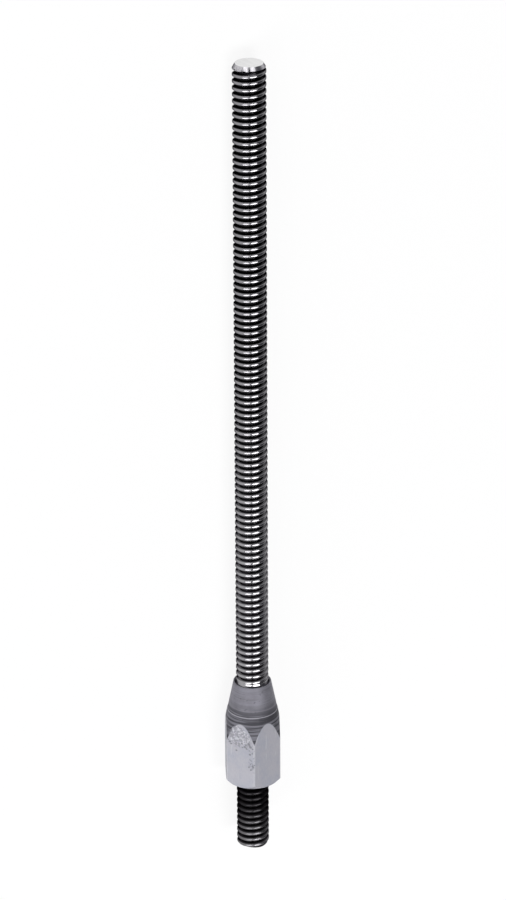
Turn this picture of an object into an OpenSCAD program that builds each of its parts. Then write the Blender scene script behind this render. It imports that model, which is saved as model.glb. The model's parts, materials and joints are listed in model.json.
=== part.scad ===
// Air cleaner stud: a 1/4"-20 threaded rod with a cone-nosed hex collar near its lower end.
// The short thread below the collar screws into a carburettor, the collar's lower face seats on
// its flange, and the long thread above carries the air cleaner and the nut that holds it down.
//
// The stud lies on one flat of the collar and on the end of its long thread.
// The origin is the centre of the collar's seat face, with the long thread towards +X and +Z up.

/* [Threaded rod] */
// Major (outside) diameter of the thread
thread_d = 6.22; // [4.5:0.01:8]
// Distance between neighbouring turns, 20 to the inch
thread_pitch = 1.27; // [0.5:0.01:2]
// Length of the rod that stands out above the collar
upper_length = 124.5; // [40:0.5:250]
// Length of the rod that stands out below the collar
lower_length = 14.5; // [6:0.5:40]
// Length of the chamfer at the tip of the long thread
tip_chamfer_length = 0.9; // [0.2:0.1:3]
// Depth of that chamfer, from the crests in to the flat face
tip_chamfer_depth = 0.5; // [0.1:0.05:1.5]
// Length of the chamfer at the end of the short thread
lower_chamfer_length = 0.5; // [0.2:0.1:3]
// Depth of that chamfer, from the crests in to the flat face
lower_chamfer_depth = 0.4; // [0.1:0.05:1.5]

/* [Hex collar] */
// Distance across the collar's flats
hex_af = 10.32; // [8.5:0.01:14]
// Height of the collar, from its seat face to the mouth of its cone
collar_height = 21; // [12:0.5:45]
// Angle between the cone and the axis
cone_angle = 11.3; // [6:0.1:40]
// Distance from the mouth down to the shoulder that the finishing cut left on the cone
shoulder_below_mouth = 5.8; // [1:0.1:9]
// Depth of that finishing cut, square to the axis
shoulder_step = 0.07; // [0.02:0.01:0.3]
// Distance by which the round seat face stays inside the flats
seat_inset = 0.06; // [0:0.01:0.6]
// Angle between the seat face and the chamfer on the hexagon's corners
seat_chamfer_angle = 49; // [15:1:75]

/* [Bore] */
// Radial gap between the rod's crests and the edge of the countersink at each end of the bore
countersink_gap = 0.35; // [0.1:0.05:0.6]
// Depth of each countersink
countersink_depth = 0.9; // [0.2:0.1:4]
// Width of the flat rim between the upper countersink and the cone
mouth_rim = 0.15; // [0.05:0.05:2]
// Radial gap between the meshed threads of the rod and the collar
thread_clearance = 0.02; // [0.01:0.01:0.1]

/* [Hidden] */
$fn = 96;

// Share of the pitch by which a 60 degree thread's pitch diameter is less than its major diameter
pitch_d_drop = 3 * sqrt(3) / 8;

// Rod: radii, and heights above the seat face
thread_r = thread_d / 2;
mesh_r = (thread_d - pitch_d_drop * thread_pitch) / 2;
rod_top = collar_height + upper_length;
rod_bottom = -lower_length;
long_thread_end = rod_top - tip_chamfer_length;
short_thread_end = rod_bottom + lower_chamfer_length;

// Collar: radii, and heights above the seat face
flat_r = hex_af / 2;
corner_r = flat_r / cos(30);
seat_r = flat_r - seat_inset;
sink_r = thread_r + countersink_gap;
mouth_r = sink_r + mouth_rim;
cone_spread = tan(cone_angle);
shoulder_z = collar_height - shoulder_below_mouth;
shoulder_inner_r = mouth_r + shoulder_below_mouth * cone_spread;
shoulder_outer_r = shoulder_inner_r + shoulder_step;

// Height at which the turned nose has the radius r
function nose_z(r) =
    r > shoulder_outer_r ? shoulder_z - (r - shoulder_outer_r) / cone_spread
    : min(collar_height, max(shoulder_z, collar_height - (r - mouth_r) / cone_spread));

// Lying down, the stud touches at the top of a flat and at the last full turn of the long thread
rest_tilt = atan((flat_r - thread_r) / (long_thread_end - nose_z(flat_r)));

// Lays a piece that was made upright, tip up, on its side with the tip towards +X
module lying() {
    rotate([0, 90 + rest_tilt, 0]) children();
}

// The rod, with its thread as the cylinder over its crests. Inside the collar, where the two
// threads mesh, it has their pitch diameter.
module threaded_rod() {
    color("#45454a")
    lying()
    rotate_extrude()
    polygon([
        [0, rod_bottom],
        [thread_r - lower_chamfer_depth, rod_bottom],
        [thread_r, short_thread_end],
        [thread_r, 0],
        [mesh_r, 0],
        [mesh_r, collar_height],
        [thread_r, collar_height],
        [thread_r, long_thread_end],
        [thread_r - tip_chamfer_depth, rod_top],
        [0, rod_top],
    ]);
}

// The hexagonal bar, turned so that one flat faces down when the stud lies
module hex_bar() {
    rotate([0, 0, 30]) cylinder(r = corner_r, h = collar_height, $fn = 6);
}

// The long cone of the nose, with the shoulder where its finishing cut stopped
module nose_cone() {
    rotate_extrude()
    polygon([
        [0, 0],
        [shoulder_outer_r + shoulder_z * cone_spread, 0],
        [shoulder_outer_r, shoulder_z],
        [shoulder_inner_r, shoulder_z],
        [mouth_r, collar_height],
        [0, collar_height],
    ]);
}

// The cone that takes the hexagon's corners down to the round seat face
module seat_cone() {
    cylinder(r1 = seat_r, r2 = seat_r + collar_height / tan(seat_chamfer_angle), h = collar_height);
}

// The threaded bore at its pitch diameter, with a countersink at each end
module collar_bore() {
    bore_r = mesh_r + thread_clearance;
    overshoot = 1;
    rotate_extrude()
    polygon([
        [0, -overshoot],
        [sink_r, -overshoot],
        [sink_r, 0],
        [bore_r, countersink_depth],
        [bore_r, collar_height - countersink_depth],
        [sink_r, collar_height],
        [sink_r, collar_height + overshoot],
        [0, collar_height + overshoot],
    ]);
}

// The collar, turned and bored from hexagonal bar
module hex_collar() {
    color("#a4a6b0")
    lying()
    difference() {
        intersection() {
            hex_bar();
            nose_cone();
            seat_cone();
        }
        collar_bore();
    }
}

threaded_rod();
hex_collar();
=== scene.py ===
import json
import math

import bpy
from mathutils import Matrix, Vector


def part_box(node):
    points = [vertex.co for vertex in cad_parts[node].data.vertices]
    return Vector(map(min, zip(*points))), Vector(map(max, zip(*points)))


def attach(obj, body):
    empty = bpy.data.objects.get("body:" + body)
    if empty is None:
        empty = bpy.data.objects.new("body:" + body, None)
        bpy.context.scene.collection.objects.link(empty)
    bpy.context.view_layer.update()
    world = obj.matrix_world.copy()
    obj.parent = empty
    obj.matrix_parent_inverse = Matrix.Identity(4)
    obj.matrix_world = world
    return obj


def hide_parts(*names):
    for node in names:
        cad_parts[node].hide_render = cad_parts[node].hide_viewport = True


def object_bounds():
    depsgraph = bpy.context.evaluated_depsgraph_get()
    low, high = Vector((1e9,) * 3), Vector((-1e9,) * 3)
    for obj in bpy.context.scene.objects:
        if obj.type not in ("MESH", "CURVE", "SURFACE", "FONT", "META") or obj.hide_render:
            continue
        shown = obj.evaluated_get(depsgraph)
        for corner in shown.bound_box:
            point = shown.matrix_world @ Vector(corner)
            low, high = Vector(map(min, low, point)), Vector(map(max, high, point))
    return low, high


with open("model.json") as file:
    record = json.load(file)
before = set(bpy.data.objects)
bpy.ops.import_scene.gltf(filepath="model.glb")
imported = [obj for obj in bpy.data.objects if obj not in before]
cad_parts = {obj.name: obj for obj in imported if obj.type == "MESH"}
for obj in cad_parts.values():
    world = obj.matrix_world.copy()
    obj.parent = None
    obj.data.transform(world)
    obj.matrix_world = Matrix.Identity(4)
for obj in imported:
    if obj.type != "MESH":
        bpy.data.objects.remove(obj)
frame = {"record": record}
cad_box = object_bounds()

# ---------------------------------------------------------------------------------------------
# Threaded rod: a 1/4"-20 steel rod with a right-hand thread rolled over its whole length, cut
# off and chamfered at both ends. Its crests are worn bright, and its roots are dark partly with oil
# and partly with painted shade.
# The collar is screwed on from below and locked there.
# ---------------------------------------------------------------------------------------------

mm = 0.001

mounts = {mount["name"]: mount for mount in frame["record"]["mounts"]}
long_thread = mounts["air_cleaner_thread"]
short_thread = mounts["carburettor_thread"]
stud_axis = Vector(long_thread["axis"]).normalized()


def height_on_axis(mount, share):
    """Height above the seat at this share of the mount's length from its middle."""
    middle = Vector(mount["pos_m"]).dot(stud_axis)
    return middle + share * mount["dims"]["length_mm"] * mm


# The thread's section
thread_r = long_thread["dims"]["r_mm"] * mm
thread_pitch = 1.27 * mm
flank_tilt = math.radians(60)
crest_flat = 0.23 * mm
crest_round = 0.14 * mm
root_round = 0.08 * mm
steps_per_turn = 54

# The rod's ends, as heights above the seat face
tip_chamfer_length = 0.9 * mm
tip_chamfer_depth = 0.5 * mm
lower_chamfer_length = 0.5 * mm
lower_chamfer_depth = 0.4 * mm
long_thread_end = height_on_axis(long_thread, 0.5)
short_thread_end = height_on_axis(short_thread, -0.5)
rod_top = long_thread_end + tip_chamfer_length
rod_bottom = short_thread_end - lower_chamfer_length

# Under the tip's face, the thread starts out of a plain length and a cone
tip_plain_length = 0.55 * mm
tip_cone_end = 1.2 * mm
tip_cone_depth = 0.9 * mm
# How far below the tip a crest passes on the camera's side
first_crest_below_tip = 0.52 * mm

# Inside the collar the two threads mesh, and both are plain at their shared middle radius
collar_height = 21 * mm
sink_depth = 0.9 * mm
meshed_r = thread_r - 0.4125 * mm
narrowing_start = 0.2 * mm
narrowing_end = collar_height - 0.3 * mm
# Above the collar's mouth the thread runs out into a plain neck
neck_height = collar_height + 0.55 * mm
neck_root = neck_height - 3 * mm
neck_cone_depth = 0.5 * mm
neck_cone_length = 0.3 * mm

# What cuts or joins the thread stands this much past it, and is turned with this many sides
spare = 0.4 * mm
tool_margin = 0.1 * mm
tool_sides = 128
neck_sides = 2 * steps_per_turn

# The camera sees the stud from this side, counted round its axis from straight above
camera_turn = math.radians(-33.42)

# From upright, as on a lathe with the tip up, to lying: a flat of the collar faces down
lying_turn = math.atan2(-stud_axis.z, stud_axis.x) + math.radians(90)
laid_down = Matrix.Rotation(lying_turn, 4, "Y")


def start_new_piece():
    """Leaves edit mode and deselects everything, so that an operator acts on the new piece only."""
    if bpy.context.object and bpy.context.object.mode == "EDIT":
        bpy.ops.object.mode_set(mode="OBJECT")
    bpy.ops.object.select_all(action="DESELECT")


def pick(piece):
    """Makes the piece the active object and the only selected one."""
    start_new_piece()
    bpy.context.view_layer.objects.active = piece
    piece.select_set(True)


def apply_modifier(piece, kind, **settings):
    """Adds a modifier with these settings to the piece and applies it."""
    modifier = piece.modifiers.new(kind.lower(), kind)
    for name, value in settings.items():
        setattr(modifier, name, value)
    pick(piece)
    bpy.ops.object.modifier_apply(modifier=modifier.name)


def line_through(name, points):
    """A chain of edges in the XZ plane through (radius, height) points, drawn vertex by vertex."""
    start_new_piece()
    bpy.ops.mesh.primitive_plane_add(size=mm)
    piece = bpy.context.object
    piece.name = name
    bpy.ops.object.mode_set(mode="EDIT")
    bpy.ops.mesh.merge(type="CENTER")
    places = [Vector((radius, 0, height)) for radius, height in points]
    bpy.ops.transform.translate(value=places[0])
    for here, there in zip(places, places[1:]):
        bpy.ops.mesh.extrude_vertices_move(TRANSFORM_OT_translate={"value": there - here})
    bpy.ops.object.mode_set(mode="OBJECT")
    return piece


merge_distance = 0.002 * mm


def turned(name, outline, sides):
    """A turned solid: the outline, from the axis back to the axis, spun once round."""
    piece = line_through(name, outline)
    bpy.ops.object.mode_set(mode="EDIT")
    bpy.ops.mesh.select_all(action="SELECT")
    bpy.ops.mesh.spin(steps=sides, angle=math.radians(360), center=(0, 0, 0), axis=(0, 0, 1))
    bpy.ops.mesh.select_all(action="SELECT")
    bpy.ops.mesh.remove_doubles(threshold=merge_distance)
    bpy.ops.mesh.normals_make_consistent(inside=False)
    bpy.ops.object.mode_set(mode="OBJECT")
    return piece


def combine(piece, other, operation):
    """Joins, cuts or trims the piece with the other solid, which is used up."""
    apply_modifier(piece, "BOOLEAN", operation=operation, solver="MANIFOLD", object=other)
    bpy.data.objects.remove(other)


def lay_down(piece):
    """Lays an upright piece on its side, with its place in its mesh."""
    piece.data.transform(laid_down)
    piece.data.update()


def smooth(piece, sharp_angle):
    """Shades the piece smooth, apart from edges that turn by more than this many degrees."""
    pick(piece)
    bpy.ops.object.shade_smooth_by_angle(angle=math.radians(sharp_angle))


def thread_section():
    """One pitch of the thread as (radius, height), from crest to crest, with rounded corners."""
    half = thread_pitch / 2
    rounds = (crest_round + root_round) * math.sin(flank_tilt)
    flank = (half - crest_flat / 2 - rounds) / math.cos(flank_tilt)
    depth = (crest_round + root_round) * (1 - math.cos(flank_tilt)) + flank * math.sin(flank_tilt)
    crest_side = [(thread_r - crest_round * (1 - math.cos(turn)),
                   crest_flat / 2 + crest_round * math.sin(turn))
                  for turn in (0, flank_tilt / 2, flank_tilt)]
    root_side = [(thread_r - depth + root_round * (1 - math.cos(turn)),
                  half - root_round * math.sin(turn))
                 for turn in (flank_tilt, flank_tilt / 2)]
    falling = [(thread_r, 0)] + crest_side + root_side
    rising = [(radius, thread_pitch - height) for radius, height in reversed(falling)]
    return falling + [(thread_r - depth, half)] + rising


def threaded(name, low, high, crest_height):
    """A solid thread between two heights, with flat ends and a crest at this height."""
    start = crest_height - math.ceil((crest_height - low) / thread_pitch + 1) * thread_pitch
    turns = math.ceil((high - start) / thread_pitch) + 1
    piece = line_through(name, [(radius, start + height) for radius, height in thread_section()])
    apply_modifier(piece, "SCREW", axis="Z", screw_offset=thread_pitch, iterations=turns,
                   steps=steps_per_turn, render_steps=steps_per_turn)
    bpy.ops.object.mode_set(mode="EDIT")
    bpy.ops.mesh.select_all(action="SELECT")
    bpy.ops.mesh.remove_doubles(threshold=merge_distance)
    for height, outer_side in ((low, "clear_inner"), (high, "clear_outer")):
        bpy.ops.mesh.select_all(action="SELECT")
        bpy.ops.mesh.bisect(plane_co=(0, 0, height), plane_no=(0, 0, 1), **{outer_side: True})
    bpy.ops.mesh.select_all(action="DESELECT")
    bpy.ops.mesh.select_non_manifold()
    bpy.ops.mesh.edge_face_add()
    bpy.ops.mesh.select_all(action="SELECT")
    bpy.ops.mesh.normals_make_consistent(inside=False)
    bpy.ops.object.mode_set(mode="OBJECT")
    return piece


# The camera's side is at half a turn plus camera_turn round the upright rod
front_share = (math.pi + camera_turn) / (2 * math.pi)
crest_at_start = rod_top - first_crest_below_tip - front_share * thread_pitch
rod = threaded("rod_thread", rod_bottom - spare, rod_top + spare, crest_at_start)

unthreaded_tip = turned("unthreaded_tip", [
    (0, rod_top - tip_cone_end),
    (thread_r - tip_cone_depth, rod_top - tip_cone_end),
    (thread_r + tool_margin, rod_top - tip_plain_length),
    (thread_r + tool_margin, rod_top + spare / 2),
    (0, rod_top + spare / 2),
], tool_sides)
combine(rod, unthreaded_tip, "UNION")

# The neck flares a little inside the collar's mouth and closes the gap to its thread
plain_neck = turned("plain_neck", [
    (0, neck_root),
    (meshed_r, neck_root),
    (meshed_r, collar_height - 0.5 * mm),
    (thread_r + 0.16 * mm, collar_height - 0.2 * mm),
    (thread_r + 0.04 * mm, collar_height + 0.05 * mm),
    (thread_r, collar_height + 0.25 * mm),
    (thread_r, neck_height),
    (thread_r - neck_cone_depth, neck_height + neck_cone_length),
    (0, neck_height + neck_cone_length),
], neck_sides)
combine(rod, plain_neck, "UNION")

# The bar that the thread is trimmed to: chamfered ends, narrowed inside the collar
tip_spread = spare * tip_chamfer_depth / tip_chamfer_length
lower_spread = spare * lower_chamfer_depth / lower_chamfer_length
rod_blank = turned("rod_blank", [
    (0, rod_bottom),
    (thread_r - lower_chamfer_depth, rod_bottom),
    (thread_r + lower_spread, short_thread_end + spare),
    (thread_r + lower_spread, narrowing_start),
    (meshed_r, sink_depth),
    (meshed_r, collar_height - sink_depth),
    (thread_r + tip_spread, narrowing_end),
    (thread_r + tip_spread, long_thread_end - spare),
    (thread_r - tip_chamfer_depth, rod_top),
    (0, rod_top),
], tool_sides)
combine(rod, rod_blank, "INTERSECT")
lay_down(rod)
smooth(rod, 32)


class Field:
    """A number, colour or vector in a tree of nodes, which Python's operators work on."""

    def __init__(self, tree, socket=None):
        self.tree = tree
        self.socket = socket

    def node(self, kind, inputs=None, output=0, **settings):
        """Any node: its settings are set first, then its sockets get values or links."""
        made = self.tree.nodes.new(kind)
        for name, value in settings.items():
            setattr(made, name, value)
        for name, value in (inputs or {}).items():
            socket = made.inputs[name]
            if isinstance(value, Field):
                self.tree.links.new(value.socket, socket)
            elif socket.type == "RGBA":
                socket.default_value = (*value, 1)
            else:
                socket.default_value = value
        return Field(self.tree, made.outputs[output] if made.outputs else None)

    def maths(self, operation, first, second=0.0):
        return self.node("ShaderNodeMath", {0: first, 1: second}, operation=operation)

    def __add__(self, other):
        return self.maths("ADD", self, other)

    def __sub__(self, other):
        return self.maths("SUBTRACT", self, other)

    def __mul__(self, other):
        return self.maths("MULTIPLY", self, other)

    def __truediv__(self, other):
        return self.maths("DIVIDE", self, other)

    def __rsub__(self, other):
        return self.maths("SUBTRACT", other, self)

    __radd__ = __add__
    __rmul__ = __mul__

    def __abs__(self):
        return self.maths("ABSOLUTE", self)

    def root(self):
        return self.maths("SQRT", self)

    def larger(self, other):
        return self.maths("MAXIMUM", self, other)

    def between(self, low, high):
        """0 below low and 1 above high, with a smooth step from one to the other."""
        values = {"Value": self, "From Min": low, "From Max": high}
        return self.node("ShaderNodeMapRange", values, interpolation_type="SMOOTHSTEP")

    def noise(self, scale, detail=2.0, roughness=0.5, stretch=(1, 1, 1)):
        """Even noise from 0 to 1 over this place field."""
        place = self.node("ShaderNodeMapping", {"Vector": self, "Scale": stretch})
        return self.node("ShaderNodeTexNoise", {"Vector": place, "Scale": scale,
                                                "Detail": detail, "Roughness": roughness})

    def bump(self, strength, distance):
        """A normal that this field raises where it is high."""
        return self.node("ShaderNodeBump", {"Height": self, "Strength": strength,
                                            "Distance": distance})

    def tint(self, base, shade):
        """From the base colour, where this field is 0, to the shade, where it is 1."""
        colors = {"Factor": self, 6: base, 7: shade}
        return self.node("ShaderNodeMix", colors, output=2, data_type="RGBA")


def new_metal(name):
    """A new, empty material, and the place on the upright stud as its first field."""
    material = bpy.data.materials.new(name)
    material.use_nodes = True
    material.node_tree.nodes.clear()
    place = Field(material.node_tree).node("ShaderNodeTexCoord", output="Object")
    upright = place.node("ShaderNodeMapping", {"Vector": place, "Rotation": (0, -lying_turn, 0)})
    return material, upright


def finish(place, **sockets):
    """Gives the place's material its shader, with these values and fields on its sockets."""
    values = {name.replace("_", " "): value for name, value in sockets.items()}
    shader = place.node("ShaderNodeBsdfPrincipled", values)
    place.node("ShaderNodeOutputMaterial", {"Surface": shader})


def split(place):
    """The place's x, y and height above the seat, and its distance from the stud's axis."""
    x, y, height = (place.node("ShaderNodeSeparateXYZ", {"Vector": place}, output=way)
                    for way in "XYZ")
    return x, y, height, (x * x + y * y).root()


# Thread steel: bright crests over flanks that are dark partly with oil and partly with painted
# shade; crests and flanks are painted lighter near the collar, as painted reflected light
rod_steel, place = new_metal("rod_steel")
height, radius = split(place)[2:]
# Painted shade: below the crests, the flanks and roots are painted dark, partly for oil and partly
# as painted shade in the thread's grooves
bright_crest = radius.between(thread_r - 0.2 * mm, thread_r - 0.05 * mm)
oil = place.noise(900, 3)
# Painted light: crests and flanks are painted lighter from the seat to 35 mm up, fading out by 105
# mm, as painted reflected light from the lower end
painted_light_near_collar = height.between(0, mm) - height.between(35 * mm, 105 * mm)
flank = painted_light_near_collar.tint((0.025, 0.024, 0.026), (0.106, 0.104, 0.11))
worn = place.noise(450, 4, 0.6)
crest = painted_light_near_collar.tint(worn.tint((0.227, 0.223, 0.234), (0.334, 0.327, 0.342)),
                   worn.tint((0.274, 0.268, 0.28), (0.388, 0.38, 0.394)))
steel = bright_crest.tint(flank, crest)
chamfer = height.between(long_thread_end - 0.2 * mm, long_thread_end + 0.05 * mm)
filed = place.noise(1800, 3, 0.6)
steel = chamfer.tint(steel, filed.tint((0.364, 0.356, 0.378), (0.644, 0.63, 0.658)))

# Painted shadow: the short thread is darkened almost to black as the collar's painted shadow, from
# the seat down to 10 mm above its lower end, and about a third as much at that end
below_seat = 1 - height.between(-0.6 * mm, 0)
above_end = height.between(rod_bottom, rod_bottom + 10 * mm)
steel = (below_seat * (0.35 + above_end * 0.6)).tint(steel, (0.01, 0.009, 0.01))
scratches = place.noise(2600, 3, 0.7)
finish(place, Base_Color=steel, Metallic=1.0, Specular_Tint=(0.08, 0.08, 0.085),
       Roughness=0.13 + oil * 0.08 + chamfer * 0.06 + below_seat * 0.12,
       Normal=scratches.bump(0.12, 0.01 * mm))

# The bright, sawn faces at both ends
cut_steel, place = new_metal("cut_steel")
saw_marks = place.noise(1500, 3, 0.6, stretch=(0.15, 1, 1))
finish(place, Base_Color=saw_marks.tint((0.759, 0.759, 0.759), (0.92, 0.92, 0.92)),
       Metallic=1.0, Specular_Tint=(0.9, 0.9, 0.9),
       Roughness=0.34 + saw_marks * 0.12, Normal=saw_marks.bump(0.2, 0.01 * mm))

rod.data.materials.clear()
rod.data.materials.append(rod_steel)
rod.data.materials.append(cut_steel)
square_to_axis = 0.999
for face in rod.data.polygons:
    face.material_index = int(abs(face.normal.dot(stud_axis)) > square_to_axis)

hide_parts("threaded_rod")
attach(rod, "root")

# ---------------------------------------------------------------------------------------------
# Hex collar: turned from hexagonal steel bar, with a long cone nose, a threaded bore countersunk
# at each end, and the corners chamfered down to a round seat face.
# ---------------------------------------------------------------------------------------------

corner_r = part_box("hex_collar")[1][1]
flat_r = corner_r * math.cos(math.radians(30))
stock_r = corner_r + 0.5 * mm
collar_sides = 192

# The nose, from the flat rim at its mouth down to the shoulder that its last cut left
sink_r = thread_r + 0.35 * mm
mouth_r = thread_r + 0.5 * mm
cone_spread = math.tan(math.radians(11.3))
shoulder_height = collar_height - 5.8 * mm
shoulder_r = mouth_r + (collar_height - shoulder_height) * cone_spread
shoulder_step = 0.07 * mm

# The seat face, its chamfer and the bore
seat_r = flat_r - 0.06 * mm
seat_chamfer_rise = math.tan(math.radians(49))
bore_r = meshed_r + 0.02 * mm
bore_overrun = mm
worn_edge = 0.07 * mm

start_new_piece()
bpy.ops.mesh.primitive_cylinder_add(vertices=6, radius=corner_r, depth=collar_height,
                                    location=(0, 0, collar_height / 2))
collar = bpy.context.object
collar.name = "collar_body"
bpy.ops.object.transform_apply(location=True, rotation=True, scale=True)

collar_blank = turned("collar_blank", [
    (0, 0),
    (seat_r, 0),
    (stock_r, (stock_r - seat_r) * seat_chamfer_rise),
    (stock_r, shoulder_height - (stock_r - shoulder_r - shoulder_step) / cone_spread),
    (shoulder_r + shoulder_step, shoulder_height - 0.02 * mm),
    (shoulder_r + shoulder_step * 0.6, shoulder_height + 0.03 * mm),
    (shoulder_r - 0.01 * mm, shoulder_height + 0.08 * mm),
    (mouth_r + 0.012 * mm, collar_height - 0.06 * mm),
    (mouth_r - 0.05 * mm, collar_height),
    (0, collar_height),
], collar_sides)
combine(collar, collar_blank, "INTERSECT")

collar_bore = turned("collar_bore", [
    (0, -bore_overrun),
    (sink_r, -bore_overrun),
    (sink_r, 0),
    (bore_r, sink_depth),
    (bore_r, collar_height - sink_depth),
    (sink_r, collar_height),
    (sink_r, collar_height + bore_overrun),
    (0, collar_height + bore_overrun),
], tool_sides)
combine(collar, collar_bore, "DIFFERENCE")

apply_modifier(collar, "BEVEL", width=worn_edge, segments=2, limit_method="ANGLE",
               angle_limit=math.radians(24), use_clamp_overlap=True)
lay_down(collar)
smooth(collar, 40)
apply_modifier(collar, "WEIGHTED_NORMAL", weight=100, keep_sharp=True)

collar_steel, place = new_metal("collar_steel")
x, y, height, radius = split(place)

# How far a point lies inside the nearest flat, and where the lathe cut the flats away
reach = abs(x)
for side in (math.radians(60), math.radians(-60)):
    reach = reach.larger(abs(x * math.cos(side) + y * math.sin(side)))
inside_flat = flat_r - reach
turned_part = inside_flat.between(0.015 * mm, 0.05 * mm) * height.between(3 * mm, 4 * mm)

# Turning marks: rings that differ in height only, finer on the nose than under the shoulder
fine_rings = place.noise(5500, 3, 0.7, stretch=(0.02, 0.02, 1))
broad_rings = place.noise(2300, 2, 0.6, stretch=(0.04, 0.04, 1))
smear = place.noise(500, 3, 0.6)
specks = place.noise(2300, 2).between(0.66, 0.7)
below_shoulder = 1 - height.between(shoulder_height - 0.1 * mm, shoulder_height)
near_shoulder = 1 - height.between(shoulder_height, shoulder_height + 3 * mm)
near_shoulder = near_shoulder * (1 - below_shoulder)
nose = (fine_rings * 0.6 + smear * 0.4).between(0.35, 0.65)
nose = nose.tint((0.186, 0.182, 0.208), (0.261, 0.256, 0.292))
nose = (near_shoulder * broad_rings.between(0.38, 0.52)).tint(nose, (0.095, 0.093, 0.107))
under = (broad_rings * 0.8 + fine_rings * 0.2).between(0.42, 0.56)
under = under.tint((0.065, 0.064, 0.074), (0.189, 0.186, 0.213))
nose = below_shoulder.tint(nose, under)
nose = (specks * 0.6).tint(nose, (0.086, 0.084, 0.098))

# The shoulder itself: a thin ring painted bright, as a painted highlight along the shoulder's step
ring = height.between(shoulder_height - 0.14 * mm, shoulder_height - 0.06 * mm)
ring = ring * (1 - height.between(shoulder_height + 0.02 * mm, shoulder_height + 0.06 * mm))
nose = ring.tint(nose, (0.396, 0.39, 0.43))

# The flats: bright drawn steel, slightly clouded and scored along the bar, brighter at corners
cloud = place.noise(320, 3, 0.55)
grain = place.noise(5200, 3, 0.7, stretch=(1, 1, 0.3))
scored = place.noise(1500, 3, 0.6, stretch=(1, 1, 0.08)).between(0.62, 0.68)
corner = radius.between(corner_r - 0.16 * mm, corner_r - 0.05 * mm)
drawn = cloud.between(0.3, 0.7).tint((0.312, 0.321, 0.369), (0.357, 0.351, 0.384))
drawn = (grain.between(0.35, 0.75) * 0.5).tint(drawn, (0.402, 0.402, 0.43))
drawn = (scored * 0.35).tint(drawn, (0.495, 0.495, 0.525))
drawn = (corner * 0.5).tint(drawn, (0.45, 0.45, 0.48))
steel = turned_part.tint(drawn, nose)

# Where a wrench slipped: a burred patch under one arch, and pits down the corner beside it
flat_turn = math.radians(120)
on_flat = x * math.cos(flat_turn) + y * math.sin(flat_turn)
on_flat = on_flat.between(flat_r - 0.35 * mm, flat_r - 0.1 * mm)
across = x * -math.sin(flat_turn) + y * math.cos(flat_turn)


def spot(middle, rise, width, tall, soft=0.5):
    """1 inside an ellipse on the flat, from its middle and half sizes in millimetres."""
    aside = (across - middle * mm) / (width * mm)
    above = (height - rise * mm) / (tall * mm)
    return 1 - (aside * aside + above * above).between(1 - soft, 1 + soft)


# Each pit's place across the flat, its height above the seat and its half width, in millimetres
pit_places = (
    (-0.9, 8.0, 0.22), (1.75, 9.9, 0.28), (2.1, 9.3, 0.3), (2.6, 9.0, 0.2), (1.9, 8.5, 0.15),
    (2.0, 7.7, 0.26), (2.5, 8.0, 0.16), (1.7, 4.9, 0.15), (2.6, 5.2, 0.27), (2.9, 5.6, 0.16),
    (2.2, 4.4, 0.18), (-2.3, 9.6, 0.26), (-2.0, 9.2, 0.22), (-2.6, 10.0, 0.16), (0.9, 9.1, 0.27),
    (1.3, 8.8, 0.22), (0.4, 8.9, 0.18), (-0.3, 9.0, 0.14), (2.85, 3.9, 0.12),
)
pits = 0
for middle, rise, size in pit_places:
    pits = pits + spot(middle, rise, size, size * 0.8)
chewed = spot(2.3, 7.2, 0.75, 3.3, 0.5).larger(spot(-0.3, 9.4, 2.3, 0.7, 0.5))
chewed = chewed * place.noise(2700, 2).between(0.56, 0.62)
pits = (pits + chewed) * on_flat

scuff = spot(-0.55, 11.2, 1.9, 2.1, 0.35).larger(spot(1.55, 10.5, 0.75, 1.5, 0.4)) * on_flat
scuff = (scuff + (place.noise(1300, 2) - 0.5) * 0.9).between(0.4, 0.6)
raised = place.noise(2100, 3, 0.6).between(0.42, 0.66)
steel = (scuff * 0.8).tint(steel, raised.tint((0.232, 0.232, 0.258), (0.525, 0.525, 0.567)))
steel = (pits.between(0, 1) * 0.85).tint(steel, (0.18, 0.18, 0.203))

relief = turned_part * (fine_rings + broad_rings) * 0.4 + (1 - turned_part) * grain * 0.25
relief = relief + scuff * raised * 2.2 - pits * 2.4
finish(place, Base_Color=steel, Metallic=0.78, Roughness=0.5 + turned_part * 0.15 + grain * 0.05,
       Normal=relief.bump(0.5, 0.02 * mm))
collar.data.materials.clear()
collar.data.materials.append(collar_steel)

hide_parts("hex_collar")
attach(collar, "root")

# ---------------------------------------------------------------------------------------------
# Floor, light and camera: a pale, matt floor under the stud. Two low oval lamps and two small
# high boxes stand on either side of the camera, and a card lights the lower end. The studio is
# pale near the floor and dark overhead.
# ---------------------------------------------------------------------------------------------

start_new_piece()
bpy.ops.mesh.primitive_plane_add(size=12, location=(0, 0, cad_box[0][2]))
floor = bpy.context.object
floor.name = "floor"

# The floor is white to the eye and in reflections, but lights the stud as pale matt paint does
floor_paint = bpy.data.materials.new("floor_paint")
floor_paint.use_nodes = True
floor_paint.node_tree.nodes.clear()
paint = Field(floor_paint.node_tree)
seen = paint.node("ShaderNodeLightPath", output="Is Camera Ray")
seen = seen + paint.node("ShaderNodeLightPath", output="Is Glossy Ray")
seen = seen + paint.node("ShaderNodeLightPath", output="Is Transmission Ray")
matt = paint.node("ShaderNodeBsdfDiffuse", {"Color": (0.93, 0.93, 0.93)})
white = paint.node("ShaderNodeEmission", {"Color": (1, 1, 1), "Strength": 1.0})
mixed = paint.node("ShaderNodeMixShader", {0: seen * 0.88, 1: matt, 2: white})
paint.node("ShaderNodeOutputMaterial", {"Surface": mixed})
floor.data.materials.append(floor_paint)

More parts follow.
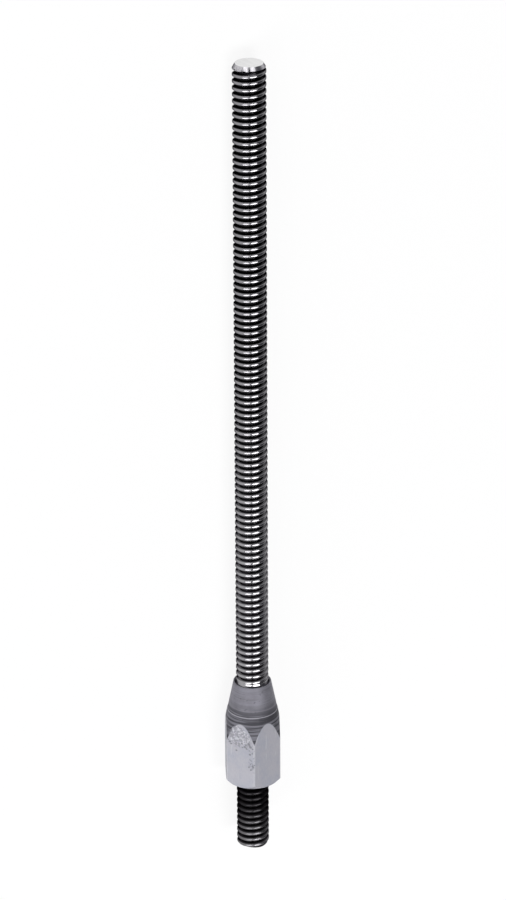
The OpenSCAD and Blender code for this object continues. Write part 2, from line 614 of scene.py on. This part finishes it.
studio = bpy.data.worlds.new("studio")
bpy.context.scene.world = studio
studio.use_nodes = True
studio.node_tree.nodes.clear()
direction = Field(studio.node_tree).node("ShaderNodeTexCoord", output="Generated")
steepness = direction.node("ShaderNodeSeparateXYZ", {"Vector": direction}, output="Z")
sky = steepness.between(0.05, 0.55).tint((0.85, 0.85, 0.86), (0.09, 0.09, 0.1))
background = sky.node("ShaderNodeBackground", {"Color": sky})
background.node("ShaderNodeOutputWorld", {"Surface": background})

above_axis = Vector((-stud_axis.z, 0, stud_axis.x))
camera_side = above_axis * math.cos(camera_turn) - Vector((0, math.sin(camera_turn), 0))
camera_right = stud_axis.cross(camera_side)
lit_point = stud_axis * 0.06


def soft_box(name, azimuth, elevation, distance, width, height, radiance, shape="RECTANGLE"):
    """A flat lamp that faces the stud, in a direction counted from the camera's side."""
    azimuth, elevation = math.radians(azimuth), math.radians(elevation)
    level = camera_side * math.cos(azimuth) + camera_right * math.sin(azimuth)
    towards = level * math.cos(elevation) + stud_axis * math.sin(elevation)
    lamp = bpy.data.lights.new(name, "AREA")
    lamp.shape = shape
    lamp.size, lamp.size_y = width, height
    lamp.energy = radiance * math.pi * width * height
    holder = bpy.data.objects.new(name, lamp)
    bpy.context.collection.objects.link(holder)
    side = stud_axis.cross(towards).normalized()
    turn = Matrix((side, towards.cross(side), towards)).transposed()
    holder.matrix_world = Matrix.Translation(lit_point + towards * distance) @ turn.to_4x4()
    holder.visible_camera = False


soft_box("low_left_box", azimuth=-25, elevation=-22, distance=2.6,
         width=2.0, height=0.78, radiance=5.0, shape="ELLIPSE")
soft_box("low_right_box", azimuth=28.5, elevation=-22, distance=2.6,
         width=2.2, height=0.85, radiance=7.3, shape="ELLIPSE")
soft_box("high_left_box", azimuth=-30, elevation=50, distance=0.8,
         width=0.4, height=0.45, radiance=2.1)
soft_box("high_right_box", azimuth=30, elevation=50, distance=0.8,
         width=0.4, height=0.45, radiance=2.1)
soft_box("end_card", azimuth=0, elevation=-89, distance=0.2,
         width=0.3, height=0.2, radiance=1.0)

# Camera: distance, downward tilt along the stud, aim above the seat, and the framing
camera_distance = 0.75
camera_tilt = math.radians(24.44)
camera_roll = math.radians(0.286)
camera_aim = 69.39 * mm
camera_sideways = 0.365 * mm
camera_lens = 160.7

look = -camera_side * math.cos(camera_tilt) - stud_axis * math.sin(camera_tilt)
level_up = stud_axis * math.cos(camera_tilt) - camera_side * math.sin(camera_tilt)
up = level_up * math.cos(camera_roll) + camera_right * math.sin(camera_roll)
right = look.cross(up)
camera_data = bpy.data.cameras.new("camera")
camera_data.sensor_fit = "VERTICAL"
camera_data.sensor_height = 36
camera_data.lens = camera_lens
camera = bpy.data.objects.new("camera", camera_data)
bpy.context.collection.objects.link(camera)
stand = stud_axis * camera_aim - look * camera_distance + camera_right * camera_sideways
camera_facing = Matrix((right, up, -look)).transposed().to_4x4()
camera.matrix_world = Matrix.Translation(stand) @ camera_facing
bpy.context.scene.camera = camera
bpy.context.scene.view_settings.view_transform = "Standard"
